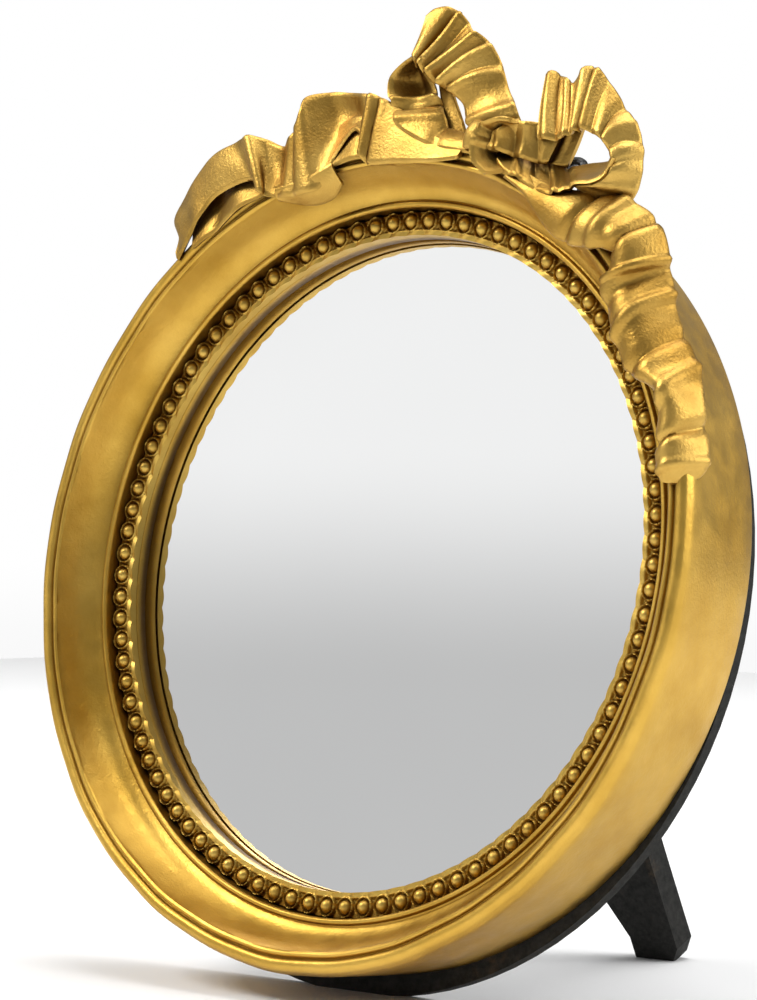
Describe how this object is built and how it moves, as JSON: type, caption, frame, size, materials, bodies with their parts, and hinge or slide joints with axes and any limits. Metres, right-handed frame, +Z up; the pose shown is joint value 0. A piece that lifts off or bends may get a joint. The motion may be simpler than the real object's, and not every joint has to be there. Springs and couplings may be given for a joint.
{
  "type": "table mirror",
  "caption": "Round gilt table mirror with a beaded frame, a ribbon bow on top, a black backing board, an easel leg and a wire hanger.",
  "frame": {"origin": "middle of the bounding box of the standing mirror, on the surface that it stands on", "axes": "+Z up, the glass faces -Y and leans back, +X to the right as seen by someone looking into the glass"},
  "size_m": [0.1512, 0.096, 0.1734],
  "materials": {
    "gilt_frame": "satin gilt paint on cast resin",
    "gilt_beads": "satin gilt paint on cast resin",
    "gold_leaf": "burnished gold leaf on cast resin",
    "mirror_glass": "silvered float glass",
    "backing_card": "plain card",
    "black_board": "black flocked fibreboard",
    "black_leg": "black flocked fibreboard",
    "steel_hinge": "zinc plated",
    "steel_fasteners": "zinc plated",
    "black_wire": "blackened wire"
  },
  "bodies": {
    "mirror_body": {"frame_ring": "gilt_frame", "beaded_rim": "gilt_beads", "mirror_glass": "mirror_glass", "backing_card": "backing_card", "back_board": "black_board", "bow_knot": "gold_leaf", "bow_loop_left": "gold_leaf", "bow_loop_right": "gold_leaf", "ribbon_tail_left": "gold_leaf", "ribbon_tail_right": "gold_leaf", "board_screw_1": "steel_fasteners", "board_screw_2": "steel_fasteners", "board_screw_3": "steel_fasteners", "board_screw_4": "steel_fasteners", "hinge_leaf_board": "steel_hinge", "hinge_pin": "steel_hinge", "board_leaf_rivet_1": "steel_fasteners", "board_leaf_rivet_2": "steel_fasteners", "hanger_strap": "steel_hinge", "hanger_rivet": "steel_fasteners"},
    "leg": {"easel_leg": "black_leg", "hinge_leaf_leg": "steel_hinge", "leg_leaf_rivet_1": "steel_fasteners", "leg_leaf_rivet_2": "steel_fasteners"},
    "hanger": {"hanger_ring": "black_wire"}
  },
  "joints": [
    {"name": "leg_hinge", "type": "hinge", "parent": "mirror_body", "child": "leg", "pos_m": [0.0026, -0.00288, 0.11474], "axis": [0.9957, 0.0156, 0.0911], "range_deg": [-31.5, 0]},
    {"name": "hanger_swing", "type": "hinge", "parent": "mirror_body", "child": "hanger", "pos_m": [0.0181, 0.00122, 0.13816], "axis": [-0.9511, 0.0521, 0.3046], "range_deg": [-15, 148]}
  ]
}
